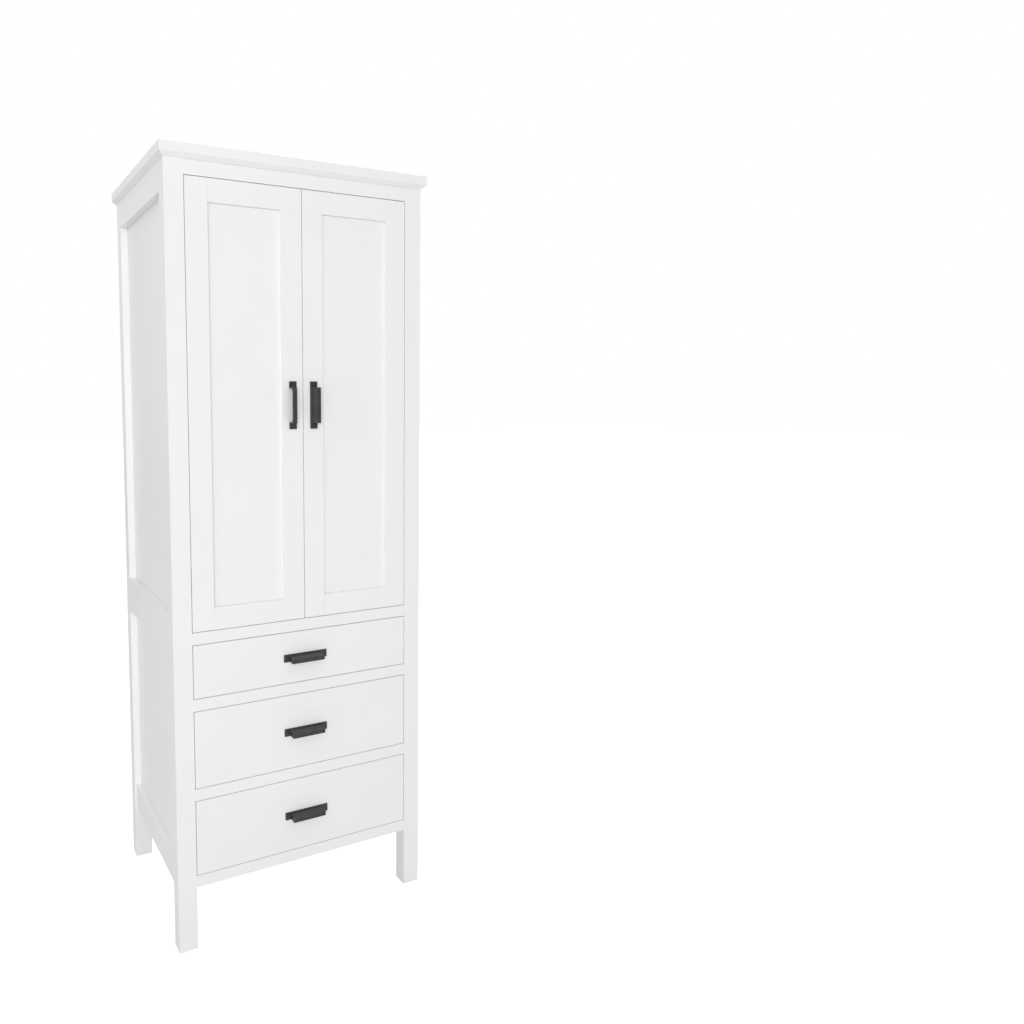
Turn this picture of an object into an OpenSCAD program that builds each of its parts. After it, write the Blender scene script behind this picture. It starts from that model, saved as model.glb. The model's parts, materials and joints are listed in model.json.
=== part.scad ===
// Tall painted armoire: a face frame on four square legs, two inset panelled doors over
// three inset drawers. The legs' front faces are flush with doors, drawers and front rails.
// X runs to the right, Y to the back and Z up. The origin is on the floor, midway between
// the pulls' faces and the top board's back edge.

/* [Body] */
// Height from the floor to the top face
body_h = 1830; // [1525:5:2200]
// Width over the outside faces of the legs
body_w = 645; // [535:1:780]
// Depth over the front and back faces of the legs
body_d = 496; // [470:1:600]
// Width of each leg, seen from the front
leg_w = 44; // [38:1:55]
// Depth of each leg, seen from the side
leg_d = 40; // [34:1:50]

/* [Top board] */
// Thickness of the top board
top_t = 30; // [22:1:40]
// Overhang of the top board past the legs at each side
top_side_overhang = 11; // [0:1:25]
// Overhang of the top board past the legs at the front
top_front_overhang = 12; // [0:1:20]
// Overhang of the top board past the legs at the back
top_back_overhang = 12; // [0:1:25]
// Height of the bevel under the top board's edge
bevel_h = 9.5; // [3:0.5:15]
// Width of the bevel under the top board's edge
bevel_w = 10; // [3:0.5:15]

/* [Front frame] */
// Height of the rails under and between the drawers and doors
rail_h = 28; // [20:1:40]
// Height of the rail over the doors
top_rail_h = 33; // [20:1:60]
// Depth of the front rails, from front to back
rail_t = 22; // [20:1:30]
// Clear height under the bottom rail
floor_gap = 149; // [60:1:220]
// Height of the opening for the lower drawer
lower_opening_h = 180; // [120:1:230]
// Height of the opening for the middle drawer
middle_opening_h = 184; // [120:1:230]
// Height of the opening for the upper drawer
upper_opening_h = 127; // [105:1:200]
// Gap around each door and drawer front
gap = 1.5; // [1.5:0.1:3]

/* [Side and back frames] */
// Thickness of the side and back rails
side_rail_t = 30; // [26:1:34]
// Height of the top side rail
side_top_rail_h = 66; // [40:1:120]
// Height of the middle side rail
side_middle_rail_h = 90; // [50:1:120]
// How far the middle side rail's top stands above the door rail's top
side_middle_rail_rise = 42; // [0:1:80]
// Height of the bottom side rail
side_bottom_rail_h = 64; // [40:1:90]
// How far the bottom side rail hangs below the front bottom rail
side_bottom_rail_drop = 5; // [0:1:20]
// Setback of the bottom side rail from the legs' outside faces
side_bottom_rail_setback = 4; // [0:1:8]
// Depth of the side panels behind the legs' outside faces
side_panel_recess = 18; // [10:0.5:20]
// Thickness of the side and back panels
panel_t = 6; // [4:0.5:8]
// Depth of the grooves that hold the panels
groove_depth = 8; // [5:1:10]
// Depth of the back panel in from the legs' back faces
back_panel_recess = 8; // [4:1:12]
// Height of the back rails
back_rail_h = 60; // [40:1:100]
// Length of the tenons on the frame rails
tenon_l = 20; // [12:1:24]
// Thickness of the tenons on the frame rails
tenon_t = 9; // [6:1:10]
// Shoulder above and below each tenon
tenon_shoulder = 5; // [3:1:8]

/* [Inside] */
// Thickness of the floor under the door compartment, and of the shelves
shelf_t = 18; // [12:1:25]
// Thickness of the panel under the lower drawer
bottom_panel_t = 6; // [4:1:12]
// Side clearance of a shelf at each end
shelf_side_gap = 1.5; // [1:0.5:4]
// Height of the lower shelf's underside over the compartment floor
lower_shelf_z = 330; // [150:1:400]
// Height of the upper shelf's underside over the compartment floor
upper_shelf_z = 650; // [450:1:700]
// Diameter of the shelf pins
pin_d = 5; // [4:0.5:7]
// Length of a shelf pin that shows
pin_out = 9; // [6:1:12]
// Length of a shelf pin in its hole
pin_in = 10; // [8:1:12]
// Spacing of the shelf pin holes
pin_pitch = 32; // [25:1:50]
// Pin holes above each shelf pin, and as many below it
pin_spare = 2; // [0:1:3]

/* [Doors] */
// Thickness of the doors and of the drawer fronts
door_t = 20; // [18:1:22]
// Width of the door stiles and height of the door rails
stile_w = 52; // [40:1:70]
// Depth of the door panel behind the door's front face
door_panel_recess = 8; // [4:0.5:9]
// Tongue of a door panel in its frame
door_tongue = 8; // [5:1:10]
// Length of a door rail's tenon
door_tenon_l = 30; // [20:1:35]
// Distance of the outer hinges' centres from a door's ends
hinge_inset = 110; // [80:1:200]

/* [Hinges] */
// Height of a hinge body
hinge_h = 60; // [50:1:80]
// Inside radius of the curved leaves, from the turning axis
leaf_ri = 14; // [13.5:0.1:14.2]
// Outside radius of the curved leaves
leaf_ro = 17.6; // [16.5:0.1:17.8]
// Height of one curved leaf
leaf_h = 12; // [8:1:14]
// Arc that a curved leaf spans, in degrees
leaf_arc = 130; // [124:1:132]
// Running clearance of a leaf in its slot
leaf_gap = 0.4; // [0.3:0.05:0.6]
// Wall of a hinge body behind its slots
hinge_wall = 1.2; // [1:0.1:1.5]

/* [Drawers] */
// Thickness of the drawer sides and backs
box_t = 12; // [10:1:15]
// Thickness of the drawer bottoms
box_bottom_t = 6; // [4:1:8]
// Depth of a drawer box behind its front
box_l = 440; // [380:5:442]
// Clear height between a drawer box and the rails under it
box_lift = 14; // [8:1:20]
// How much lower a drawer box is than its opening
box_drop = 32; // [26:1:45]
// Height of the drawer bottom over the sides' lower edges
box_bottom_up = 9; // [5:1:14]
// Depth of the groove for a drawer bottom
box_groove = 6; // [4:1:7]

/* [Slides] */
// Length of a slide member
slide_l = 430; // [380:5:440]
// Space for a slide between the frame and a drawer box
slide_w = 13; // [12.7:0.1:14]
// Height of the frame member of a slide
slide_h = 45; // [40:1:48]
// Sheet thickness of the slide members
slide_sheet = 1.5; // [1.2:0.1:1.8]
// Height of a slide's centre over the drawer box's lower edge
slide_up = 45; // [40:1:50]
// Room for the balls between two slide members
ball_gap = 3; // [2.5:0.1:3.2]
// Height of the wooden cleat behind a slide
cleat_h = 50; // [48:1:60]

/* [Pulls] */
// Overall length of a pull
pull_l = 112; // [96:1:150]
// Length of the hollow hood of a pull
pull_hood_l = 84; // [60:1:88]
// Width of a pull on the wood
pull_w = 18.5; // [15:0.5:22]
// How far a pull stands out
pull_out = 23; // [18:0.5:30]
// Width of a pull's front face
pull_face_w = 11; // [8:0.5:14]
// Wall of the hood
pull_wall = 2.2; // [1.8:0.1:3]
// Thickness of the end tabs
pull_tab_t = 3; // [2:0.1:4]
// Width of the flat lip along the closed side of the hood
pull_lip = 2.4; // [1:0.1:4]
// Radius of the hollow's front corners
pull_corner_r = 9; // [2:0.5:12]
// Height of the door pulls' centres over the middle of the doors
door_pull_up = 7; // [-100:1:100]

/* [Hidden] */
$fn = 48;
eps = 0.01;

paint = [0.93, 0.93, 0.92];
birch = [0.86, 0.74, 0.55];
zinc = [0.68, 0.69, 0.70];
gunmetal = [0.17, 0.17, 0.18];

// The frame's planes. Y is measured from the front of the legs, and the last step of each
// module moves it to the part's own frame.
y_front = pull_out - (pull_out + body_d + top_back_overhang) / 2;
half_w = body_w / 2;
half_opening = half_w - leg_w;
opening_w = 2 * half_opening;
leg_top = body_h - top_t;
side_inner = half_w - side_rail_t;
panel_outer = half_w - side_panel_recess;
y_back_panel = body_d - back_panel_recess - panel_t;
// Room round a tenon or a panel's edge, and between two boards that glue holds
joint_gap = 0.2;
glue_line = 0.1;

// Heights of the front rails and openings, from the floor up
z_lower = floor_gap + rail_h;
z_lower_rail = z_lower + lower_opening_h;
z_middle = z_lower_rail + rail_h;
z_upper_rail = z_middle + middle_opening_h;
z_upper = z_upper_rail + rail_h;
z_door_rail = z_upper + upper_opening_h;
z_door = z_door_rail + rail_h;
z_top_rail = leg_top - top_rail_h;
door_opening_h = z_top_rail - z_door;
rail_z = [floor_gap, z_lower_rail, z_upper_rail, z_door_rail, z_top_rail];
rail_heights = [rail_h, rail_h, rail_h, rail_h, top_rail_h];
drawer_z = [z_lower, z_middle, z_upper];
drawer_h = [lower_opening_h, middle_opening_h, upper_opening_h];

// Side rails: lower edge, height and setback of each, bottom to top
side_z = [floor_gap - side_bottom_rail_drop, z_door + side_middle_rail_rise - side_middle_rail_h,
    leg_top - side_top_rail_h];
side_heights = [side_bottom_rail_h, side_middle_rail_h, side_top_rail_h];
side_setbacks = [side_bottom_rail_setback, 0, 0];
back_z = [floor_gap, leg_top - back_rail_h];
back_rail_y = body_d - side_rail_t;

// Doors and hinges
door_w = (opening_w - 3 * gap) / 2;
door_h = door_opening_h - 2 * gap;
door_z = z_door + gap;
door_x = half_opening - gap;
axis_x = half_opening - gap / 2;
hinge_z = [door_z + hinge_inset, door_z + door_h / 2, door_z + door_h - hinge_inset];
leaf_z = [hinge_h / 4, -hinge_h / 4];
slot_r = leaf_ro + leaf_gap;
hinge_depth = slot_r + hinge_wall;
hinge_front = 3.4;
slot_arc = (leaf_arc + 8) / 2;

// Shelves and pins
shelf_z = [z_door + lower_shelf_z, z_door + upper_shelf_z];
shelf_front = door_t + 6;
shelf_back = y_back_panel - 4;
pin_inset = 8;
pin_y = [leg_d - pin_inset, body_d - leg_d + pin_inset];
pin_hole_gap = 0.1;

// Drawers and slides
box_w = opening_w - 2 * slide_w;
slide_y = door_t + 4;
middle_slide_h = slide_h - 2 * slide_sheet - 2 * ball_gap;
inner_slide_h = middle_slide_h - 2 * slide_sheet - 2 * ball_gap;

// Moves a child from the frame that starts at the legs' front faces to the part's own
module place() {
    translate([0, y_front, 0]) children();
}

// Keeps a child made for the left side (side = -1), or mirrors it to the right (side = 1)
module on_side(side) {
    if (side > 0) mirror([1, 0, 0]) children();
    else children();
}

// A box from one corner to the opposite one
module block(low, high) {
    translate(low) cube(high - low);
}

/* Frame */

// The two crossing profiles cut the same bevel under all four edges of the board
module top_board() {
    x = half_w + top_side_overhang;
    color(paint) place() intersection() {
        translate([0, body_d + top_back_overhang, leg_top]) rotate([90, 0, 0])
            linear_extrude(top_front_overhang + body_d + top_back_overhang)
                bevelled(-x, x);
        translate([-x, 0, leg_top]) rotate([90, 0, 90])
            linear_extrude(2 * x)
                bevelled(-top_front_overhang, body_d + top_back_overhang);
    }
}

// Section of the top board from one edge to the other
module bevelled(from, to) {
    polygon([[from + bevel_w, 0], [to - bevel_w, 0], [to, bevel_h], [to, top_t],
        [from, top_t], [from, bevel_h]]);
}

// A front leg on the left, with its mortises, panel grooves, pin holes and hinge pockets
module front_leg() {
    difference() {
        block([-half_w, 0, 0], [-half_opening, leg_d, leg_top]);
        for (i = [0 : len(rail_z) - 1]) front_tenon(i, joint_gap);
        for (i = [0 : len(side_z) - 1]) side_tenon(i, joint_gap);
        for (i = [0 : 1]) side_panel(i, joint_gap);
        pin_holes(pin_y[0]);
        for (z = hinge_z) hinge_pocket(z);
    }
}

// A back leg on the left
module back_leg() {
    difference() {
        block([-half_w, body_d - leg_d, 0], [-half_opening, body_d, leg_top]);
        for (i = [0 : len(side_z) - 1]) side_tenon(i, joint_gap);
        for (i = [0 : 1]) side_panel(i, joint_gap);
        for (i = [0 : 1]) back_tenon(i, joint_gap);
        back_board(joint_gap);
        pin_holes(pin_y[1]);
    }
}

// Tongue of a front rail, or its mortise when grown by a clearance
module front_tenon(i, grow) {
    y = (rail_t - tenon_t) / 2;
    end = half_opening + tenon_l;
    block([-end - grow, y - grow, rail_z[i] + tenon_shoulder - grow],
        [end + grow, y + tenon_t + grow, rail_z[i] + rail_heights[i] - tenon_shoulder + grow]);
}

module front_rail(i) {
    color(paint) place() {
        block([-half_opening, 0, rail_z[i]], [half_opening, rail_t, rail_z[i] + rail_heights[i]]);
        front_tenon(i, 0);
    }
}

// Tongues of a side rail on the left, or their mortises
module side_tenon(i, grow) {
    x = -half_w + side_tenon_inset();
    low = leg_d - tenon_reach();
    high = body_d - leg_d + tenon_reach();
    block([x - grow, low - grow, side_z[i] + tenon_shoulder - grow],
        [x + tenon_t + grow, high + grow, side_z[i] + side_heights[i] - tenon_shoulder + grow]);
}

// The side tenons stop short of the front rails' tenons
function tenon_reach() = min(tenon_l, leg_d - (rail_t + tenon_t) / 2 - 3);
// The side tenons lie in the outer half of the rails, clear of the panel groove
function side_tenon_inset() = (side_panel_recess - tenon_t) / 2 + 1;

module side_rail(side, i) {
    x = -half_w + side_setbacks[i];
    color(paint) place() on_side(side) difference() {
        union() {
            block([x, leg_d, side_z[i]], [-side_inner, body_d - leg_d, side_z[i] + side_heights[i]]);
            side_tenon(i, 0);
        }
        for (k = [0 : 1]) side_panel(k, joint_gap);
    }
}

// A side panel on the left: 0 is the lower one, 1 the upper one
module side_panel(i, grow) {
    low = side_z[i] + side_heights[i] - groove_depth;
    high = side_z[i + 1] + groove_depth;
    y = leg_d - groove_depth;
    block([-panel_outer - grow, y - grow, low - grow],
        [-panel_outer + panel_t + grow, body_d - y + grow, high + grow]);
}

module panel_on_side(side, i) {
    color(paint) place() on_side(side) side_panel(i, 0);
}

// Tongue of a back rail, or its mortise
module back_tenon(i, grow) {
    end = half_opening + tenon_l;
    block([-end - grow, back_rail_y + 2 - grow, back_z[i] + tenon_shoulder - grow],
        [end + grow, back_rail_y + 2 + tenon_t + grow, back_z[i] + back_rail_h - tenon_shoulder + grow]);
}

module back_rail(i) {
    color(paint) place() difference() {
        union() {
            block([-half_opening, back_rail_y, back_z[i]], [half_opening, body_d, back_z[i] + back_rail_h]);
            back_tenon(i, 0);
        }
        back_board(joint_gap);
    }
}

// The back panel, held in grooves in the back legs and back rails
module back_board(grow) {
    x = half_opening + groove_depth;
    block([-x - grow, y_back_panel - grow, back_z[0] + back_rail_h - groove_depth - grow],
        [x + grow, y_back_panel + panel_t + grow, back_z[1] + groove_depth + grow]);
}

/* Inside */

// Compartment floor, notched round the legs and level with the door rail
module compartment_floor() {
    color(paint) place() {
        notched_board(z_door - shelf_t, shelf_t, rail_t, y_back_panel - joint_gap);
    }
}

module bottom_panel() {
    color(paint) place() notched_board(floor_gap + joint_gap, bottom_panel_t, rail_t, back_rail_y);
}

// A board between the front rails and the back that also fills the space between the legs
module notched_board(z, t, front, back) {
    block([-half_opening, front, z], [half_opening, back, z + t]);
    block([-side_inner, leg_d, z], [side_inner, min(back, body_d - leg_d), z + t]);
}

module shelf(i) {
    x = half_opening - shelf_side_gap;
    color(paint) place() block([-x, shelf_front, shelf_z[i]], [x, shelf_back, shelf_z[i] + shelf_t]);
}

// Row of holes in a left leg round each shelf pin
module pin_holes(y) {
    for (z = shelf_z) for (k = [-pin_spare : pin_spare])
        translate([-half_opening - pin_in - 1, y, z - pin_d / 2 + k * pin_pitch]) rotate([0, 90, 0])
            cylinder(d = pin_d + 2 * pin_hole_gap, h = pin_in + 2);
}

module shelf_pins() {
    color(zinc) place() for (side = [-1, 1], y = pin_y, z = shelf_z)
        on_side(side) translate([-half_opening - pin_in, y, z - pin_d / 2]) rotate([0, 90, 0])
            cylinder(d = pin_d, h = pin_in + pin_out);
}

// Strips between the legs that bring the slides' screws level with the legs' inner faces
module slide_cleats() {
    color(birch) place() for (side = [-1, 1], i = [0 : 2])
        on_side(side) translate([-side_inner, leg_d, slide_z(i) - cleat_h / 2])
            cube([side_inner - half_opening, body_d - 2 * leg_d, cleat_h]);
}

/* Slides */

function slide_z(i) = drawer_z[i] + box_lift + slide_up;

// Channel that lies on its side, its web at x = 0, its flanges reaching to x = reach
module channel(h, reach) {
    rotate([90, 0, 0]) translate([0, 0, -slide_l]) linear_extrude(slide_l)
        polygon([[0, -h / 2], [reach, -h / 2], [reach, -h / 2 + slide_sheet],
            [slide_sheet, -h / 2 + slide_sheet], [slide_sheet, h / 2 - slide_sheet],
            [reach, h / 2 - slide_sheet], [reach, h / 2], [0, h / 2]]);
}

module frame_slide_members() {
    color(zinc) place() for (side = [-1, 1], i = [0 : 2])
        on_side(side) translate([-half_opening, slide_y, slide_z(i)])
            channel(slide_h, slide_w - slide_sheet);
}

// The middle member's web runs beside the frame member's, with a gap for the screw heads
module middle_slide_pair(i) {
    color(zinc) place() for (side = [-1, 1])
        on_side(side) translate([-half_opening + slide_sheet + 1.5, slide_y, slide_z(i)])
            channel(middle_slide_h, slide_w - 2 * slide_sheet - 3);
}

// The drawer's own member opens towards the frame, its web against the drawer side
module drawer_slide_pair(i) {
    color(zinc) place() for (side = [-1, 1])
        on_side(side) translate([-half_opening + slide_w, slide_y, slide_z(i)]) mirror([1, 0, 0])
            channel(inner_slide_h, slide_w - 2 * slide_sheet - 3);
}

/* Hinges */

// A ring sector about the hinge axis, in the left door's corner, centred on straight back
module arc_sector(ri, ro, h, arc) {
    rotate([0, 0, 90 - arc / 2]) rotate_extrude(angle = arc)
        translate([ri, -h / 2]) square([ro - ri, h]);
}

// The slots in which the leaves of one left hinge run, on both sides of the gap
module leaf_slots(z) {
    for (dz = leaf_z) translate([-axis_x, 0, z + dz])
        arc_sector(leaf_ri - leaf_gap, slot_r, leaf_h + 2 * leaf_gap, 2 * slot_arc);
}

// Pocket in a left leg for a hinge body
module hinge_pocket(z) {
    block([-axis_x - hinge_depth - joint_gap, hinge_front - joint_gap, z - hinge_h / 2 - joint_gap],
        [-half_opening + eps, door_t, z + hinge_h / 2 + joint_gap]);
}

// Pocket in a left door's hinge stile, open at the stile's edge
module door_hinge_pocket(z) {
    block([-door_x - eps, hinge_front - joint_gap, z - hinge_h / 2 - joint_gap],
        [-axis_x + hinge_depth + joint_gap, door_t + eps, z + hinge_h / 2 + joint_gap]);
}

// The hinge bodies in the legs, three to a side
module leg_hinge_bodies() {
    color(zinc) place() for (side = [-1, 1], z = hinge_z) on_side(side) difference() {
        block([-axis_x - hinge_depth, hinge_front, z - hinge_h / 2], [-half_opening, door_t - joint_gap, z + hinge_h / 2]);
        leaf_slots(z);
    }
}

// The hinge bodies in a door's edge
module door_hinge_bodies(side) {
    color(zinc) place() for (z = hinge_z) on_side(side) difference() {
        block([-door_x, hinge_front, z - hinge_h / 2], [-axis_x + hinge_depth, door_t, z + hinge_h / 2]);
        leaf_slots(z);
    }
}

// The curved leaves that join the two halves of each hinge and turn half as far as the door
module hinge_leaves(side) {
    color(zinc) place() for (z = hinge_z, dz = leaf_z) on_side(side)
        translate([-axis_x, 0, z + dz]) arc_sector(leaf_ri, leaf_ro, leaf_h, leaf_arc);
}

/* Doors, made as the left one */

module hinge_stile(side) {
    color(paint) place() on_side(side) difference() {
        block([-door_x, 0, door_z], [-door_x + stile_w, door_t, door_z + door_h]);
        door_rail_tenons(joint_gap);
        door_board(joint_gap);
        for (z = hinge_z) door_hinge_pocket(z);
    }
}

module meeting_stile(side) {
    color(paint) place() on_side(side) difference() {
        block([-door_x + door_w - stile_w, 0, door_z], [-door_x + door_w, door_t, door_z + door_h]);
        door_rail_tenons(joint_gap);
        door_board(joint_gap);
    }
}

module door_rails(side) {
    x = -door_x + stile_w;
    color(paint) place() on_side(side) difference() {
        union() {
            for (z = [door_z, door_z + door_h - stile_w])
                block([x, 0, z], [x + door_w - 2 * stile_w, door_t, z + stile_w]);
            door_rail_tenons(0);
        }
        door_board(joint_gap);
    }
}

// Tongues of the two door rails, or their mortises
module door_rail_tenons(grow) {
    x = -door_x + stile_w - door_tenon_l;
    y = door_panel_recess;
    for (z = [door_z, door_z + door_h - stile_w])
        block([x - grow, y - grow, z + tenon_shoulder + door_tongue - grow],
            [x + door_w - 2 * stile_w + 2 * door_tenon_l + grow, y + panel_t + grow,
                z + stile_w - tenon_shoulder - door_tongue + grow]);
}

// The flat door panel, with its tongue in the frame all round
module door_board(grow) {
    x = -door_x + stile_w - door_tongue;
    z = door_z + stile_w - door_tongue;
    block([x - grow, door_panel_recess - grow, z - grow],
        [x + door_w - 2 * stile_w + 2 * door_tongue + grow, door_panel_recess + panel_t + grow,
            z + door_h - 2 * stile_w + 2 * door_tongue + grow]);
}

module door_panel(side) {
    color(paint) place() on_side(side) door_board(0);
}

// The open side of each door pull faces away from the other door
module door_pull(side) {
    place() on_side(side)
        translate([-door_x + door_w - stile_w / 2, 0, door_z + door_h / 2 + door_pull_up])
            rotate([0, 90, 0]) pull();
}

/* Drawers: 0 is the lower one, 2 the upper one */

module drawer_front(i) {
    x = half_opening - gap;
    color(paint) place()
        block([-x, 0, drawer_z[i] + gap], [x, door_t, drawer_z[i] + drawer_h[i] - gap]);
}

// Two sides, a back between them and a bottom in their grooves, as four boards
module drawer_box(i) {
    z = drawer_z[i] + box_lift;
    h = drawer_h[i] - box_drop;
    x = box_w / 2;
    end = door_t + box_l;
    color(birch) place() {
        for (side = [-1, 1]) on_side(side) difference() {
            block([-x, door_t, z], [-x + box_t, end, z + h]);
            drawer_bottom(z, joint_gap);
        }
        block([-x + box_t + glue_line, end - box_t, z + box_bottom_up + box_bottom_t + joint_gap],
            [x - box_t - glue_line, end, z + h]);
        drawer_bottom(z, 0);
    }
}

// The bottom board of a drawer box whose lower edge is at z
module drawer_bottom(z, grow) {
    x = box_w / 2 - box_t + box_groove;
    block([-x - grow, door_t, z + box_bottom_up - grow],
        [x + grow, door_t + box_l - joint_gap + grow, z + box_bottom_up + box_bottom_t + grow]);
}

module drawer_pull(i) {
    place() translate([0, 0, drawer_z[i] + drawer_h[i] / 2]) pull();
}

/* Pull */

// A hollow hood between two flat tabs, lying along X on the plane y = 0, open below
module pull() {
    color(gunmetal) {
        difference() {
            hood_section(pull_hood_l, 0);
            difference() {
                hood_section(pull_hood_l - 2 * pull_wall, pull_wall);
                for (side = [-1, 1]) on_side(side) hollow_corner();
            }
        }
        for (side = [-1, 1]) on_side(side)
            block([-pull_l / 2, -pull_tab_t, -pull_w / 2], [-pull_hood_l / 2 + eps, 0, pull_w / 2]);
        block([-pull_hood_l / 2, -pull_tab_t, pull_w / 2 - pull_lip - pull_wall / 2],
            [pull_hood_l / 2, 0, pull_w / 2]);
    }
}

// The hood as a solid bar, or the hollow inside it when wall is its wall's thickness
module hood_section(l, wall) {
    z = pull_w / 2;
    slope = (pull_w - pull_lip - pull_face_w) / pull_out;
    drop = wall * sqrt(1 + slope * slope);
    open = wall > 0 ? 1 : 0;
    translate([-l / 2, 0, 0]) rotate([90, 0, 90]) linear_extrude(l)
        polygon([[open, -z - open], [-pull_out + wall, -z - open],
            [-pull_out + wall, -z + pull_face_w - drop + slope * wall],
            [open, z - pull_lip - drop + slope * open]]);
}

// Metal left in a front corner of the hollow, at its left end
module hollow_corner() {
    x = -pull_hood_l / 2 + pull_wall;
    y = -pull_out + pull_wall;
    difference() {
        block([x - 1, y - 1, -pull_w], [x + pull_corner_r, y + pull_corner_r, pull_w]);
        translate([x + pull_corner_r, y + pull_corner_r, -pull_w - 1])
            cylinder(r = pull_corner_r, h = 2 * pull_w + 2);
    }
}

top_board();
color(paint) place() on_side(-1) front_leg();  // front_left_leg
color(paint) place() on_side(1) front_leg();  // front_right_leg
color(paint) place() on_side(-1) back_leg();  // back_left_leg
color(paint) place() on_side(1) back_leg();  // back_right_leg
front_rail(0);  // bottom_front_rail
front_rail(1);  // lower_drawer_rail
front_rail(2);  // upper_drawer_rail
front_rail(3);  // door_rail
front_rail(4);  // top_front_rail
side_rail(-1, 0);  // left_bottom_rail
side_rail(-1, 1);  // left_middle_rail
side_rail(-1, 2);  // left_top_rail
side_rail(1, 0);  // right_bottom_rail
side_rail(1, 1);  // right_middle_rail
side_rail(1, 2);  // right_top_rail
panel_on_side(-1, 0);  // left_lower_panel
panel_on_side(-1, 1);  // left_upper_panel
panel_on_side(1, 0);  // right_lower_panel
panel_on_side(1, 1);  // right_upper_panel
back_rail(0);  // back_bottom_rail
back_rail(1);  // back_top_rail
color(paint) place() back_board(0);  // back_panel
compartment_floor();
bottom_panel();
shelf(0);  // lower_shelf
shelf(1);  // upper_shelf
shelf_pins();
slide_cleats();
frame_slide_members();
leg_hinge_bodies();
hinge_stile(-1);  // left_door_hinge_stile
meeting_stile(-1);  // left_door_meeting_stile
door_rails(-1);  // left_door_rails
door_panel(-1);  // left_door_panel
door_pull(-1);  // left_door_pull
door_hinge_bodies(-1);  // left_door_hinge_bodies
hinge_leaves(-1);  // left_hinge_leaves
hinge_stile(1);  // right_door_hinge_stile
meeting_stile(1);  // right_door_meeting_stile
door_rails(1);  // right_door_rails
door_panel(1);  // right_door_panel
door_pull(1);  // right_door_pull
door_hinge_bodies(1);  // right_door_hinge_bodies
hinge_leaves(1);  // right_hinge_leaves
drawer_front(0);  // lower_drawer_front
drawer_box(0);  // lower_drawer_box
drawer_pull(0);  // lower_drawer_pull
drawer_slide_pair(0);  // lower_drawer_slide_members
middle_slide_pair(0);  // lower_middle_slide_members
drawer_front(1);  // middle_drawer_front
drawer_box(1);  // middle_drawer_box
drawer_pull(1);  // middle_drawer_pull
drawer_slide_pair(1);  // middle_drawer_slide_members
middle_slide_pair(1);  // middle_middle_slide_members
drawer_front(2);  // upper_drawer_front
drawer_box(2);  // upper_drawer_box
drawer_pull(2);  // upper_drawer_pull
drawer_slide_pair(2);  // upper_drawer_slide_members
middle_slide_pair(2);  // upper_middle_slide_members
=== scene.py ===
"""White painted armoire with two panelled doors over three drawers.

Every board, slide and pull follows its CAD node, with the arrises eased as a maker eases them.
Screws and shelf pins are new pieces. Lengths are in metres.
"""

import json
import math

import bmesh
import bpy
import numpy as np
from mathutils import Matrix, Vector

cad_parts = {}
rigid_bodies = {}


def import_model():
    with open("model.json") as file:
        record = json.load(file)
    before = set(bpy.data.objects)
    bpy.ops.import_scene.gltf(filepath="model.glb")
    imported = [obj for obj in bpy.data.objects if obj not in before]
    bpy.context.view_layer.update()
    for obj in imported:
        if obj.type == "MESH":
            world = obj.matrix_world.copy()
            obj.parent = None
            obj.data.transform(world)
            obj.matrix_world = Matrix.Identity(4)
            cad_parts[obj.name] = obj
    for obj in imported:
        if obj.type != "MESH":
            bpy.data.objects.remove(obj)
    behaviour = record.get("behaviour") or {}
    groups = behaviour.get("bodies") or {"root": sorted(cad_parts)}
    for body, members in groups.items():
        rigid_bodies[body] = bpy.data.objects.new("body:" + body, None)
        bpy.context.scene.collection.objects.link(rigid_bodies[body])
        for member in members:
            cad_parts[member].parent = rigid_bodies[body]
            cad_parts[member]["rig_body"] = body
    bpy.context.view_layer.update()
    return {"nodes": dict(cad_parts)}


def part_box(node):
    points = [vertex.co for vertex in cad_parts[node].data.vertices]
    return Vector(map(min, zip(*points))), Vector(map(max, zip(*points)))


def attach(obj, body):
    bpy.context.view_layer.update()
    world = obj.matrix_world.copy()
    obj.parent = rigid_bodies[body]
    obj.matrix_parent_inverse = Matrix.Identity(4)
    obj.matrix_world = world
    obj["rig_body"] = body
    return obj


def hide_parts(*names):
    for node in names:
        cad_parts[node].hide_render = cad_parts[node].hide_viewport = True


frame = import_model()

MM = 0.001
TURN = 2 * math.pi
X, Y, Z = 0, 1, 2

DRAWERS = ("upper", "middle", "lower")
SIDES = {"left": -1, "right": 1}

# Points closer than this are one, and a point this close to a seam's plane lies in it
WELD = 0.002 * MM
ON_SEAM = 0.02 * MM

# Turns between two faces: up to the first they count as one flat, past the others as sharp
FLAT_TURN = math.radians(0.4)
SHARP_TURN = math.radians(30)
SHARP_TURN_OF_RINGS = math.radians(35)

# How far each kind of edge is rounded
SOFT_ARRIS = 0.45 * MM
SEAM_ARRIS = 0.3 * MM
BOX_ARRIS = 0.7 * MM
STEEL_ARRIS = 0.25 * MM
PULL_ARRIS = 0.6 * MM

# Thickness of one ply of a drawer side, and a depth just past a whole side
PLY = 1.33 * MM
PAST_SIDE = 13 * MM

# Screws. OUT is the way from the middle of a pull or hinge, BACK the way from the front end of a
# hinge or slide, and HEAD a head's radius and rise
PULL_SCREW_OUT = 49 * MM
PULL_SCREW_HEAD = (4.2 * MM, 2.4 * MM)
HINGE_SCREW_OUT = 25.7 * MM
HINGE_SCREW_BACK = 7.5 * MM
HINGE_SCREW_HEAD = (3.2 * MM, 0.4 * MM)
SLIDE_SCREWS_BACK = (35 * MM, 225 * MM, 400 * MM)
SLIDE_SCREW_HEAD = (3.6 * MM, 1.6 * MM)

# From a leg's inner face to the channel of a drawer's slide member
SLIDE_DEPTH = 11.5 * MM

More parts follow.
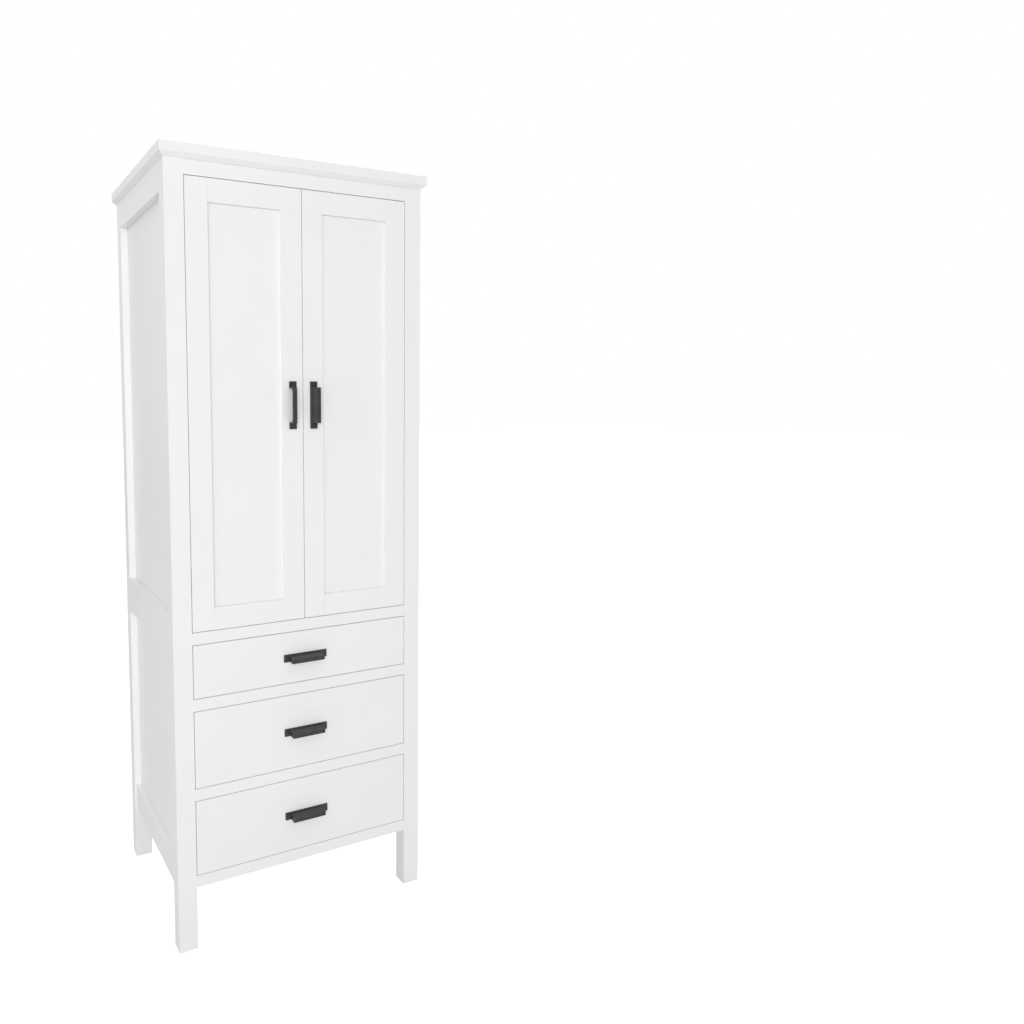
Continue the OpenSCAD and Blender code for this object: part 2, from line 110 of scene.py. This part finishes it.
# Points in each ring of a turned pin and of a screw head
PIN_STEPS = 32
HEAD_STEPS = 48


# ---------------------------------------------------------------- node building

def put(tree, kind, inputs=None, **settings):
    """A new node. Each input takes a value, or a socket to be linked to it."""
    made = tree.nodes.new(kind)
    for key, value in settings.items():
        setattr(made, key, value)
    for key, value in (inputs or {}).items():
        if isinstance(value, bpy.types.NodeSocket):
            tree.links.new(value, made.inputs[key])
        else:
            made.inputs[key].default_value = value
    return made


def math_node(tree, operation, *values):
    """The output of one Math node on one to three values."""
    return put(tree, "ShaderNodeMath", dict(enumerate(values)), operation=operation).outputs[0]


def noise(tree, vector, scale, detail, roughness=0.5, distortion=0.0):
    """A noise texture's value from 0 to 1."""
    return put(tree, "ShaderNodeTexNoise", {"Vector": vector, "Scale": scale, "Detail": detail,
                                            "Roughness": roughness, "Distortion": distortion}).outputs[0]


def spread(tree, value, low, high, to_low, to_high):
    """A value taken from one range to another, and held inside it."""
    return put(tree, "ShaderNodeMapRange", {0: value, 1: low, 2: high, 3: to_low, 4: to_high}).outputs[0]


def blend_colours(tree, factor, first, second):
    """A colour between two others. The factor is a socket that varies over the surface."""
    return put(tree, "ShaderNodeMix", {0: factor, 6: first, 7: second}, data_type="RGBA").outputs[2]


def stretched(tree, scale):
    """Object coordinates with a scale of their own on each axis."""
    place = put(tree, "ShaderNodeTexCoord").outputs["Object"]
    return put(tree, "ShaderNodeMapping", {"Vector": place, "Scale": scale}).outputs[0]


def new_group(name, inputs, outputs):
    """An empty shader group with named sockets. Returns it with its inner input and output nodes."""
    group = bpy.data.node_groups.new(name, "ShaderNodeTree")
    for label, kind in inputs:
        group.interface.new_socket(label, in_out="INPUT", socket_type=kind)
    for label, kind in outputs:
        group.interface.new_socket(label, in_out="OUTPUT", socket_type=kind)
    return group, put(group, "NodeGroupInput"), put(group, "NodeGroupOutput")


def use_group(tree, group, **inputs):
    """A group placed in a material with its own values."""
    return put(tree, "ShaderNodeGroup", inputs, node_tree=group).outputs


VECTOR, FLOAT = "NodeSocketVector", "NodeSocketFloat"


def make_paint_film():
    """Brushed enamel: strokes along the board, a fine stipple, and slow clouds of thicker paint."""
    group, given, result = new_group("paint_film", [("Strokes", VECTOR), ("Place", VECTOR)],
                                     [("Tone", FLOAT), ("Sheen", FLOAT), ("Height", FLOAT)])
    strokes = noise(group, given.outputs["Strokes"], 1.0, 3.0, 0.55, 0.3)
    stipple = noise(group, given.outputs["Place"], 1100.0, 2.0)
    clouds = noise(group, given.outputs["Place"], 5.0, 3.0, 0.5, 0.4)
    height = math_node(group, "MULTIPLY_ADD", strokes, 0.65, math_node(group, "MULTIPLY", stipple, 0.35))
    tone = math_node(group, "MULTIPLY_ADD", clouds, 0.7, math_node(group, "MULTIPLY", strokes, 0.3))
    sheen = math_node(group, "MULTIPLY_ADD", clouds, 0.5, math_node(group, "MULTIPLY", strokes, 0.5))
    for label, value in (("Tone", tone), ("Sheen", sheen), ("Height", height)):
        group.links.new(spread(group, value, 0.3, 0.7, 0.0, 1.0), result.inputs[label])
    return group


def make_wood_grain():
    """Clear birch: wandering growth bands, short dark flecks and fine fibres along the board."""
    group, given, result = new_group("wood_grain", [("Fibres", VECTOR), ("Bands", VECTOR)],
                                     [("Band", FLOAT), ("Fleck", FLOAT), ("Fibre", FLOAT)])
    slow = noise(group, given.outputs["Bands"], 1.0, 3.0, 0.5, 1.2)
    rings = math_node(group, "SINE", math_node(group, "MULTIPLY", slow, 34.0))
    fibres = noise(group, given.outputs["Fibres"], 1.0, 4.0, 0.6, 0.1)
    flecks = noise(group, given.outputs["Fibres"], 0.42, 2.0, 0.5)
    for label, value in (("Band", spread(group, rings, -1.0, 1.0, 0.0, 1.0)),
                         ("Fleck", spread(group, flecks, 0.62, 0.74, 0.0, 1.0)),
                         ("Fibre", spread(group, fibres, 0.3, 0.7, 0.0, 1.0))):
        group.links.new(value, result.inputs[label])
    return group


def make_worn_and_highlit_edge():
    """A mask of the arrises for wear and a painted highlight. It is 1 where the surface turns sharply, 0 on a
    flat, and broken up by a noise.
    """
    group, given, result = new_group("worn_and_highlit_edge", [("Place", VECTOR), ("Reach", FLOAT)], [("Mask", FLOAT)])
    rounded = put(group, "ShaderNodeBevel", {"Radius": given.outputs["Reach"]}, samples=4).outputs[0]
    flat = put(group, "ShaderNodeNewGeometry").outputs["Normal"]
    compared = put(group, "ShaderNodeVectorMath", {0: rounded, 1: flat}, operation="DOT_PRODUCT")
    sharp = spread(group, compared.outputs["Value"], 0.99, 0.86, 0.0, 1.0)
    broken = spread(group, noise(group, given.outputs["Place"], 420.0, 3.0), 0.35, 0.65, 0.35, 1.0)
    group.links.new(math_node(group, "MULTIPLY", sharp, broken), result.inputs["Mask"])
    return group


def make_metal_skin():
    """Slow patches and fine scratches of a metal surface."""
    group, given, result = new_group("metal_skin", [("Scratches", VECTOR), ("Place", VECTOR)],
                                     [("Patch", FLOAT), ("Scratch", FLOAT)])
    patches = noise(group, given.outputs["Place"], 38.0, 3.0, 0.6)
    scratches = noise(group, given.outputs["Scratches"], 1.0, 4.0, 0.7)
    group.links.new(spread(group, patches, 0.3, 0.7, 0.0, 1.0), result.inputs["Patch"])
    group.links.new(spread(group, scratches, 0.3, 0.7, 0.0, 1.0), result.inputs["Scratch"])
    return group


paint_film = make_paint_film()
wood_grain = make_wood_grain()
worn_and_highlit_edge = make_worn_and_highlit_edge()
metal_skin = make_metal_skin()


def frequencies(axis, across, along):
    """Noise frequencies per metre for X, Y and Z: one along the strokes or grain, and one across them."""
    return tuple(along if k == axis else across for k in (X, Y, Z))


def new_material(name, slot_colour):
    """A material with an empty tree but for its Principled shader."""
    material = bpy.data.materials.new(name)
    material.use_nodes = True
    material.diffuse_color = (*slot_colour, 1)
    tree = material.node_tree
    return material, tree, tree.nodes["Principled BSDF"]


def link_bump(tree, shader, height, strength, distance):
    """Bumps on the shader's normal. The height is a socket from 0 to 1, and the distance is in metres."""
    bump = put(tree, "ShaderNodeBump", {"Height": height, "Strength": strength, "Distance": distance})
    tree.links.new(bump.outputs[0], shader.inputs["Normal"])


def make_paint(name, axis):
    """Satin enamel, brushed along one axis."""
    lightest, darkest = (0.895, 0.895, 0.892), (0.872, 0.873, 0.872)
    material, tree, shader = new_material(name, lightest)
    place = stretched(tree, (1, 1, 1))
    film = use_group(tree, paint_film, Strokes=stretched(tree, frequencies(axis, 520, 9)), Place=place)
    tone = blend_colours(tree, film["Tone"], (*darkest, 1), (*lightest, 1))
    tree.links.new(tone, shader.inputs["Base Color"])
    tree.links.new(spread(tree, film["Sheen"], 0, 1, 0.34, 0.47), shader.inputs["Roughness"])
    link_bump(tree, shader, film["Height"], 0.35, 0.00006)
    return material


def make_birch(name, axis):
    """Lacquered birch with its grain along one axis."""
    material, tree, shader = new_material(name, (0.74, 0.60, 0.42))
    grain = use_group(tree, wood_grain, Fibres=stretched(tree, frequencies(axis, 1500, 22)),
                      Bands=stretched(tree, frequencies(axis, 9, 0.9)))
    fibres = spread(tree, grain["Fibre"], 0, 1, 0.0, 0.35)
    flecks = spread(tree, grain["Fleck"], 0, 1, 0.0, 0.45)
    banded = blend_colours(tree, grain["Band"], (0.70, 0.545, 0.365, 1), (0.775, 0.64, 0.46, 1))
    fibred = blend_colours(tree, fibres, banded, (0.62, 0.46, 0.29, 1))
    flecked = blend_colours(tree, flecks, fibred, (0.50, 0.345, 0.20, 1))
    tree.links.new(flecked, shader.inputs["Base Color"])
    tree.links.new(spread(tree, grain["Fibre"], 0, 1, 0.36, 0.52), shader.inputs["Roughness"])
    link_bump(tree, shader, grain["Fibre"], 0.3, 0.00008)
    return material


def make_ply_edge(name, axis):
    """The sanded edge of birch plywood. Plies turn light and dark with the sine of the way along one axis."""
    material, tree, shader = new_material(name, (0.70, 0.56, 0.39))
    place = stretched(tree, (1, 1, 1))
    across = put(tree, "ShaderNodeSeparateXYZ", {0: place}).outputs[axis]
    wander = math_node(tree, "MULTIPLY", noise(tree, place, 60.0, 2.0), 0.6)
    phase = math_node(tree, "MULTIPLY_ADD", across, math.pi / PLY, wander)
    layer = spread(tree, math_node(tree, "SINE", phase), -0.25, 0.25, 0.0, 1.0)
    pores = noise(tree, place, 1400.0, 3.0)
    spots = spread(tree, pores, 0.45, 0.75, 0.0, 0.4)
    layered = blend_colours(tree, layer, (0.56, 0.41, 0.26, 1), (0.76, 0.62, 0.44, 1))
    spotted = blend_colours(tree, spots, layered, (0.47, 0.33, 0.20, 1))
    tree.links.new(spotted, shader.inputs["Base Color"])
    tree.links.new(spread(tree, pores, 0.3, 0.7, 0.42, 0.6), shader.inputs["Roughness"])
    link_bump(tree, shader, layer, 0.4, 0.00006)
    return material


def make_bright_steel(name, axis):
    """Zinc-plated steel, rolled along one axis."""
    material, tree, shader = new_material(name, (0.72, 0.73, 0.75))
    shader.inputs["Metallic"].default_value = 1.0
    skin = use_group(tree, metal_skin, Scratches=stretched(tree, frequencies(axis, 2600, 30)),
                     Place=stretched(tree, (1, 1, 1)))
    tone = blend_colours(tree, skin["Patch"], (0.60, 0.61, 0.635, 1), (0.74, 0.745, 0.745, 1))
    tree.links.new(tone, shader.inputs["Base Color"])
    tree.links.new(spread(tree, skin["Scratch"], 0, 1, 0.24, 0.42), shader.inputs["Roughness"])
    link_bump(tree, shader, skin["Scratch"], 0.25, 0.00003)
    return material


def make_gunmetal(name):
    """Cast pulls with a dark burnished skin and lighter arrises: partly wear where hands polish them, partly
    a painted highlight.
    """
    material, tree, shader = new_material(name, (0.03, 0.03, 0.032))
    place = stretched(tree, (1, 1, 1))
    skin = use_group(tree, metal_skin, Scratches=stretched(tree, (900, 900, 900)), Place=place)
    wear_and_highlight = use_group(tree, worn_and_highlit_edge, Place=place, Reach=0.0012)["Mask"]
    body = blend_colours(tree, skin["Patch"], (0.058, 0.058, 0.0595, 1), (0.082, 0.0815, 0.081, 1))
    # The arrises are blended towards a pale metal colour: partly wear, partly a painted highlight along the
    # edges
    tone = blend_colours(tree, spread(tree, wear_and_highlight, 0, 1, 0.0, 0.6), body, (0.3, 0.296, 0.288, 1))
    tree.links.new(tone, shader.inputs["Base Color"])
    tree.links.new(spread(tree, wear_and_highlight, 0, 1, 0.62, 0.85), shader.inputs["Metallic"])
    tree.links.new(spread(tree, skin["Scratch"], 0, 1, 0.34, 0.46), shader.inputs["Roughness"])
    link_bump(tree, shader, skin["Scratch"], 0.35, 0.00004)
    return material


# The paint for each direction of the brush
paint = {
    X: make_paint("white_paint_across", X),
    Y: make_paint("white_paint_deep", Y),
    Z: make_paint("white_paint_upright", Z),
}
birch_deep = make_birch("birch_deep", Y)
birch_across = make_birch("birch_across", X)
side_edge = make_ply_edge("ply_edge_of_sides", X)
back_edge = make_ply_edge("ply_edge_of_backs", Y)
slide_steel = make_bright_steel("slide_steel", Y)
hinge_steel = make_bright_steel("hinge_steel", Z)
gunmetal = make_gunmetal("gunmetal")


# ---------------------------------------------------------------- eased copies of the CAD pieces

def values_of(items, key, count, kind):
    """One property of a mesh's parts as an array."""
    found = np.empty(len(items) * count, kind)
    items.foreach_get(key, found)
    return found.reshape(-1, count) if count > 1 else found


def arris_weights(mesh, seams, share):
    """1 on each edge where two faces meet sharply, share on those that lie in a seam's plane, else 0."""
    ends = values_of(mesh.vertices, "co", 3, np.float32)[values_of(mesh.edges, "vertices", 2, np.int32)]
    owner = np.repeat(np.arange(len(mesh.polygons)), values_of(mesh.polygons, "loop_total", 1, np.int32))
    order = np.argsort(values_of(mesh.loops, "edge_index", 1, np.int32), kind="stable")
    normals = values_of(mesh.polygons, "normal", 3, np.float32)[owner[order]]
    sharp = (normals[::2] * normals[1::2]).sum(1) < math.cos(SHARP_TURN)
    weights = np.where(sharp, 1.0, 0.0)
    for axis, level in seams:
        weights[sharp & (np.abs(ends[:, :, axis] - level) < ON_SEAM).all(1)] = share
    return weights.astype(np.float32)


def eased(name, node, arris, materials, seams=(), segments=2):
    """A merged copy of a CAD node with its sharp edges rounded, which stands for the node."""
    mesh = frame["nodes"][node].data.copy()
    mesh.name = name
    shape = bmesh.new()
    shape.from_mesh(mesh)
    bmesh.ops.remove_doubles(shape, verts=shape.verts, dist=WELD)
    bmesh.ops.dissolve_limit(shape, angle_limit=FLAT_TURN, verts=shape.verts, edges=shape.edges)
    shape.to_mesh(mesh)
    shape.free()
    if "custom_normal" in mesh.attributes:
        mesh.attributes.remove(mesh.attributes["custom_normal"])
    weights = mesh.attributes.new("bevel_weight_edge", "FLOAT", "EDGE")
    weights.data.foreach_set("value", arris_weights(mesh, seams, SEAM_ARRIS / arris))
    mesh.shade_smooth()
    mesh.materials.clear()
    for material in materials:
        mesh.materials.append(material)
    mesh.polygons.foreach_set("material_index", np.zeros(len(mesh.polygons), np.int32))
    piece = bpy.data.objects.new(name, mesh)
    bpy.context.scene.collection.objects.link(piece)
    bevel = piece.modifiers.new("eased arrises", "BEVEL")
    bevel.width = arris
    bevel.segments = segments
    bevel.limit_method = "WEIGHT"
    bevel.harden_normals = True
    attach(piece, frame["nodes"][node]["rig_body"])
    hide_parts(node)
    return piece


def low(node, axis):
    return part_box(node)[0][axis]


def high(node, axis):
    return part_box(node)[1][axis]


def middle(node, axis):
    return (low(node, axis) + high(node, axis)) / 2


leg_faces = [(X, high("front_left_leg", X)), (X, low("front_right_leg", X))]
side_joints = [(Y, high("front_left_leg", Y)), (Y, low("back_left_leg", Y))]

# Which way the brush went on each painted piece, and the planes where its seams lie
painted = {
    "top_board": (X, ()),
    "front_left_leg": (Z, leg_faces + side_joints),
    "front_right_leg": (Z, leg_faces + side_joints),
    "back_left_leg": (Z, leg_faces + side_joints),
    "back_right_leg": (Z, leg_faces + side_joints),
    "top_front_rail": (X, leg_faces),
    "door_rail": (X, leg_faces),
    "upper_drawer_rail": (X, leg_faces),
    "lower_drawer_rail": (X, leg_faces),
    "bottom_front_rail": (X, leg_faces),
    "back_top_rail": (X, leg_faces),
    "back_bottom_rail": (X, leg_faces),
    "back_panel": (Z, ()),
    "compartment_floor": (X, ()),
    "bottom_panel": (X, ()),
    "upper_shelf": (X, ()),
    "lower_shelf": (X, ()),
}
for side in SIDES:
    for level in ("top", "middle", "bottom"):
        painted[f"{side}_{level}_rail"] = (Y, side_joints)
    for level in ("upper", "lower"):
        painted[f"{side}_{level}_panel"] = (Z, ())
    door = f"{side}_door_"
    stiles = (door + "hinge_stile", door + "meeting_stile")
    edges = sorted(edge(stile, X) for stile in stiles for edge in (low, high))
    inner = [(X, level) for level in edges[1:3]]
    painted[door + "hinge_stile"] = (Z, ())
    painted[door + "meeting_stile"] = (Z, ())
    painted[door + "rails"] = (X, inner)
    painted[door + "panel"] = (Z, ())
for name in DRAWERS:
    painted[f"{name}_drawer_front"] = (X, ())

for node, (axis, seams) in painted.items():
    eased("painted_" + node, node, SOFT_ARRIS, [paint[axis]], seams)


def make_drawer_box(name):
    """A birch plywood box: sides and bottom with the grain front to back, the back with it across."""
    node = name + "_drawer_box"
    materials = [birch_deep, birch_across, side_edge, back_edge]
    mesh = eased("birch_" + node, node, BOX_ARRIS, materials).data
    centres = values_of(mesh.polygons, "center", 3, np.float32)
    normals = values_of(mesh.polygons, "normal", 3, np.float32)
    inside = np.abs(centres[:, X]) < high(node, X) - PAST_SIDE
    behind = inside & (centres[:, Y] > high(node, Y) - PAST_SIDE)
    edges = (np.abs(normals[:, Z]) > 0.9) & ((centres[:, Z] > high(node, Z) - MM) | ~inside)
    kinds = np.select([behind & edges, behind, edges & ~inside], [3, 1, 2], 0)
    mesh.polygons.foreach_set("material_index", kinds.astype(np.int32))


def make_pull(place):
    """The pull of one door or drawer front, with rounder arrises than the rest."""
    eased(place + "_hooded_pull", place + "_pull", PULL_ARRIS, [gunmetal], segments=3)


def make_steel(name, node, steel):
    """A piece of folded or cast steel."""
    eased("steel_" + name, node, STEEL_ARRIS, [steel])


for name in DRAWERS:
    make_drawer_box(name)
    make_steel(name + "_drawer_members", name + "_drawer_slide_members", slide_steel)
    make_steel(name + "_middle_members", name + "_middle_slide_members", slide_steel)
    make_pull(name + "_drawer")
for side in SIDES:
    make_pull(side + "_door")
    make_steel(side + "_door_hinges", side + "_door_hinge_bodies", hinge_steel)
    make_steel(side + "_leaves", side + "_hinge_leaves", hinge_steel)
make_steel("leg_hinges", "leg_hinge_bodies", hinge_steel)
make_steel("frame_members", "frame_slide_members", slide_steel)
eased("birch_cleats", "slide_cleats", BOX_ARRIS, [birch_deep])


# ---------------------------------------------------------------- turned pieces

def grid_mesh(name, parts, material):
    """One mesh from grids of points: rings by steps, each ring joined to the next and closed round its steps.
    The first and last rings shrink to a point, which closes the ends.
    """
    points, faces, first = [], [], 0
    for grid in parts:
        rings, steps = grid.shape[:2]
        here = first + np.arange(rings * steps).reshape(rings, steps)
        beside = np.roll(here, -1, axis=1)
        quads = np.stack([here[:-1], beside[:-1], beside[1:], here[1:]], -1).reshape(-1, 4)
        points.append(grid.reshape(-1, 3))
        faces.append(quads)
        first += rings * steps
    mesh = bpy.data.meshes.new(name)
    mesh.from_pydata(np.concatenate(points).tolist(), [], np.concatenate(faces).tolist())
    shape = bmesh.new()
    shape.from_mesh(mesh)
    bmesh.ops.remove_doubles(shape, verts=shape.verts, dist=WELD)
    bmesh.ops.recalc_face_normals(shape, faces=shape.faces)
    shape.to_mesh(mesh)
    shape.free()
    mesh.shade_smooth()
    mesh.set_sharp_from_angle(angle=SHARP_TURN_OF_RINGS)
    mesh.materials.append(material)
    piece = bpy.data.objects.new(name, mesh)
    bpy.context.scene.collection.objects.link(piece)
    return piece


def axes_along(direction):
    """Three unit vectors at right angles. The last is the direction, which is a unit vector itself."""
    w = np.array(direction, float)
    u = np.cross(w, (0, 0, 1) if abs(w[2]) < 0.9 else (1, 0, 0))
    u /= np.linalg.norm(u)
    return u, np.cross(w, u), w


def turned(centre, direction, profile):
    """A turned shape: each (distance, radius) of the profile is a ring about the axis through the centre."""
    u, v, w = axes_along(direction)
    along, radius = np.array(profile, float).T[:, :, None, None]
    angle = (np.arange(PIN_STEPS) * TURN / PIN_STEPS)[None, :, None]
    return np.array(centre) + along * w + radius * (np.cos(angle) * u + np.sin(angle) * v)


def screw_head(centre, direction, radius, rise):
    """A domed head with a cross recess, as rings that run from its middle to its rim and under it.
    The reach is 0 in the middle and 1 at the rim. Height is the rise less 0.55 of it times the reach squared.
    Inside either bar of the cross it falls by 0.75 of the rise times what is left of the reach.
    """
    u, v, w = axes_along(direction)
    reach = np.array([0, 0.1, 0.2, 0.3, 0.42, 0.5, 0.58, 0.74, 0.88, 0.97, 1.0, 1.0])[:, None]
    angle = (np.arange(HEAD_STEPS) * TURN / HEAD_STEPS)[None, :]
    x, y = reach * np.cos(angle), reach * np.sin(angle)
    dome = rise * (1 - 0.55 * reach ** 2)
    bar_half_width, bar_end, sunk = 0.13, 0.52, -0.2 * rise
    bar = (np.minimum(np.abs(x), np.abs(y)) < bar_half_width) & (reach < bar_end)
    dome = np.where(bar, dome - 0.75 * rise * (1 - reach), dome)
    dome[-1] = sunk
    height = dome[..., None] * w
    top = np.array(centre) + radius * (x[..., None] * u + y[..., None] * v) + height
    under = np.repeat((np.array(centre) + sunk * w)[None, None], angle.size, 1)
    return np.concatenate([top, under])


def add_screws(name, body, places, direction, head):
    """A set of screws that ride on one body. A head is its radius and its rise."""
    piece = grid_mesh(name, [screw_head(place, direction, *head) for place in places], hinge_steel)
    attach(piece, body)


def solid_centres(node):
    """The middle of each separate solid of a CAD node."""
    shape = bmesh.new()
    shape.from_mesh(frame["nodes"][node].data)
    bmesh.ops.remove_doubles(shape, verts=shape.verts, dist=WELD)
    left, centres = set(shape.verts), []
    while left:
        group, front = set(), [left.pop()]
        while front:
            point = front.pop()
            group.add(point)
            beside = {e.other_vert(point) for e in point.link_edges} & left
            left -= beside
            front.extend(beside)
        co = np.array([v.co for v in group])
        centres.append((co.min(0) + co.max(0)) / 2)
    shape.free()
    return sorted(centres, key=lambda c: tuple(np.round(c, 4)))


def solid_levels(node, step):
    """The different heights at which a node's solids lie."""
    heights = sorted(c[Z] for c in solid_centres(node))
    return [z for i, z in enumerate(heights) if i == 0 or z - heights[i - 1] > step]


def add_pull_screws():
    """The screws of the pulls, seen from behind the doors and the drawer fronts."""
    for name in DRAWERS:
        y, z = high(name + "_drawer_front", Y), middle(name + "_drawer_pull", Z)
        places = [(out, y, z) for out in (-PULL_SCREW_OUT, PULL_SCREW_OUT)]
        add_screws(name + "_drawer_pull_screws", name + "_drawer", places, (0, 1, 0), PULL_SCREW_HEAD)
    for side in SIDES:
        stile = side + "_door_meeting_stile"
        x, y, z = middle(stile, X), high(stile, Y), middle(side + "_door_pull", Z)
        places = [(x, y, z + out) for out in (-PULL_SCREW_OUT, PULL_SCREW_OUT)]
        add_screws(side + "_door_pull_screws", side + "_door", places, (0, 1, 0), PULL_SCREW_HEAD)


def add_hinge_screws():
    """One screw above and one below the leaves, in each hinge body of the doors and of the legs."""
    levels = [round(z, 4) for z in solid_levels("leg_hinge_bodies", 4 * MM)]
    heights = [z + out for z in levels for out in (-HINGE_SCREW_OUT, HINGE_SCREW_OUT)]
    for side, sign in SIDES.items():
        outer = low if sign < 0 else high
        door_x = outer(side + "_door_hinge_bodies", X)
        leg_x = high("front_left_leg", X) if sign < 0 else low("front_right_leg", X)
        y = low(side + "_door_hinge_bodies", Y) + HINGE_SCREW_BACK
        on_door, on_leg = [[(x, y, z) for z in heights] for x in (door_x, leg_x)]
        add_screws(side + "_door_hinge_screws", side + "_door", on_door, (sign, 0, 0), HINGE_SCREW_HEAD)
        add_screws(side + "_leg_hinge_screws", "carcass", on_leg, (-sign, 0, 0), HINGE_SCREW_HEAD)


def add_slide_screws():
    """Three screws in the channel of each drawer member, at set distances from its front end."""
    x = high("front_left_leg", X) + SLIDE_DEPTH
    for name in DRAWERS:
        node = name + "_drawer_slide_members"
        for side, sign in SIDES.items():
            label = f"{name}_{side}_slide_screws"
            places = [(-sign * x, low(node, Y) + back, middle(node, Z)) for back in SLIDE_SCREWS_BACK]
            add_screws(label, name + "_drawer", places, (sign, 0, 0), SLIDE_SCREW_HEAD)


def add_shelf_pins():
    """Turned pins with a collar against the leg, in the places of the plain CAD pins.
    Their profile's distances run from the leg's face, below 0 inside the leg.
    """
    in_leg = [(-9.9, 0), (-9.9, 2), (-9.4, 2.5), (-0.1, 2.5), (0, 2.5)]
    collar = [(0, 3.7), (0.8, 3.7), (1, 3.5), (1, 2.5)]
    under_shelf = [(8.5, 2.5), (9, 2), (9, 0)]
    profile = np.array(in_leg + collar + under_shelf) * MM
    face = low("front_right_leg", X)
    parts = []
    for x, y, z in solid_centres("shelf_pins"):
        sign = math.copysign(1, x)
        parts.append(turned((sign * face, y, z), (-sign, 0, 0), profile))
    pins = grid_mesh("steel_shelf_pins", parts, hinge_steel)
    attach(pins, "carcass")
    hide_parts("shelf_pins")


add_pull_screws()
add_hinge_screws()
add_slide_screws()
add_shelf_pins()


# ---------------------------------------------------------------- stage, light and camera

def add_floor():
    """A pale studio floor. The camera sees it brighter than it lights the furniture."""
    half, glow = 30.0, 0.7
    corners = [(-half, -half, 0), (half, -half, 0), (half, half, 0), (-half, half, 0)]
    mesh = bpy.data.meshes.new("floor")
    mesh.from_pydata(corners, [], [(0, 1, 2, 3)])
    floor = bpy.data.objects.new("floor", mesh)
    bpy.context.scene.collection.objects.link(floor)
    material, tree, shader = new_material("pale_floor", (0.9, 0.9, 0.9))
    shader.inputs["Base Color"].default_value = (0.8, 0.8, 0.8, 1)
    shader.inputs["Roughness"].default_value = 0.9
    shader.inputs["Specular IOR Level"].default_value = 0.1
    shader.inputs["Emission Color"].default_value = (1, 1, 1, 1)
    seen = put(tree, "ShaderNodeLightPath").outputs["Is Camera Ray"]
    tree.links.new(math_node(tree, "MULTIPLY", seen, glow), shader.inputs["Emission Strength"])
    mesh.materials.append(material)


def add_sun(name, direction, strength, angle):
    """Wide soft light that comes from a direction."""
    light = bpy.data.lights.new(name, "SUN")
    light.energy = strength
    light.angle = math.radians(angle)
    sun = bpy.data.objects.new(name, light)
    bpy.context.scene.collection.objects.link(sun)
    sun.rotation_euler = Vector(direction).to_track_quat("Z", "Y").to_euler()


def add_softbox(name, place, target, size, power):
    """A square soft light that stands at a place and faces a target."""
    light = bpy.data.lights.new(name, "AREA")
    light.energy = power
    light.size = size
    box = bpy.data.objects.new(name, light)
    box.location = place
    box.rotation_euler = (Vector(place) - Vector(target)).to_track_quat("Z", "Y").to_euler()
    bpy.context.scene.collection.objects.link(box)


def add_sky(seen, lighting):
    """White surroundings: one strength for the camera, and a lower one for the light that they give."""
    world = bpy.data.worlds.new("studio")
    world.use_nodes = True
    tree = world.node_tree
    back = tree.nodes["Background"]
    back.inputs["Color"].default_value = (1, 1, 1, 1)
    camera_ray = put(tree, "ShaderNodeLightPath").outputs["Is Camera Ray"]
    tree.links.new(spread(tree, camera_ray, 0, 1, lighting, seen), back.inputs["Strength"])
    bpy.context.scene.world = world


def add_camera():
    """The camera stands left of the doors, a little above the middle, and looks slightly down."""
    lens = bpy.data.cameras.new("camera")
    lens.sensor_width = 36
    lens.lens = 28.61
    lens.shift_x = 0.1577
    lens.shift_y = -0.044
    look_down, roll, turn_right = 4.71, 0.19, 26.88
    camera = bpy.data.objects.new("camera", lens)
    camera.location = (-0.7735, -2.0163, 1.2786)
    camera.rotation_euler = [math.radians(angle) for angle in (90 - look_down, roll, -turn_right)]
    bpy.context.scene.collection.objects.link(camera)
    bpy.context.scene.camera = camera


add_floor()
add_sky(1.0, 0.2)
add_softbox("front_softbox", (-2.7, -5.4, 2.2), (0, -0.24, 0.95), 1.6, 137)
add_sun("top_light", (-0.4, -0.45, 1), 1.3, 120)
add_sun("side_light", (-0.5, 0.86, 0.12), 0.45, 60)
add_sun("back_fill", (0.50, 0.82, 0.28), 1.3, 80)
add_camera()
bpy.context.scene.view_settings.view_transform = "Standard"
